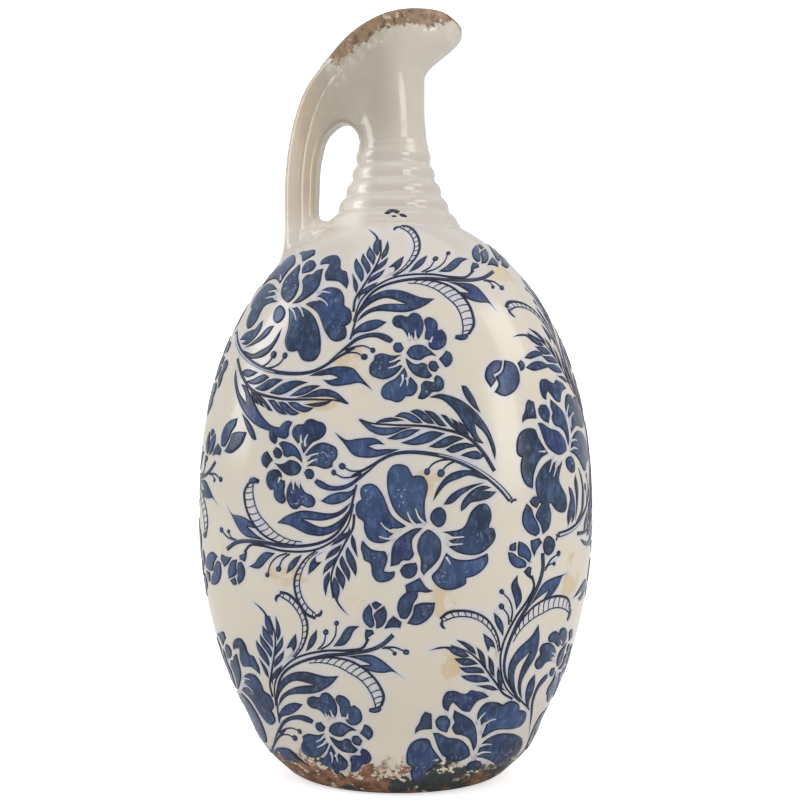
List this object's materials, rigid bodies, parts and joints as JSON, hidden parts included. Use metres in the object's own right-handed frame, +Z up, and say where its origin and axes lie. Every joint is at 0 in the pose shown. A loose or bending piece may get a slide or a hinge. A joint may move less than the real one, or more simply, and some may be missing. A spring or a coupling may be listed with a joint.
{
  "type": "pottery jug vase",
  "caption": "Free-standing glazed pottery jug vase: flattened egg-shaped body on a shallow foot, ribbed neck, swept open pouring lip and a strap handle.",
  "frame": {"origin": "centre of the foot's flat underside, on the table", "axes": "+Z up through the neck, +X from the handle towards the pouring lip, +Y from the front face to the back face of the flattened body"},
  "size_m": [0.2023, 0.144, 0.391],
  "materials": {
    "painted_glaze": "glossy cream glaze with slightly raised cobalt-blue flowers and leaves",
    "cream_glaze": "glossy cream glaze, worn to brown clay along the rim",
    "blue_glaze": "cobalt-blue glaze, mottled, with darker edges",
    "worn_clay": "bare brown clay with dark patches and flecks of glaze"
  },
  "bodies": {
    "root": {"body_front": "painted_glaze", "body_back": "painted_glaze", "base_slab": "worn_clay", "neck_collar": "cream_glaze", "spout": "cream_glaze", "handle": "cream_glaze"}
  },
  "joints": []
}
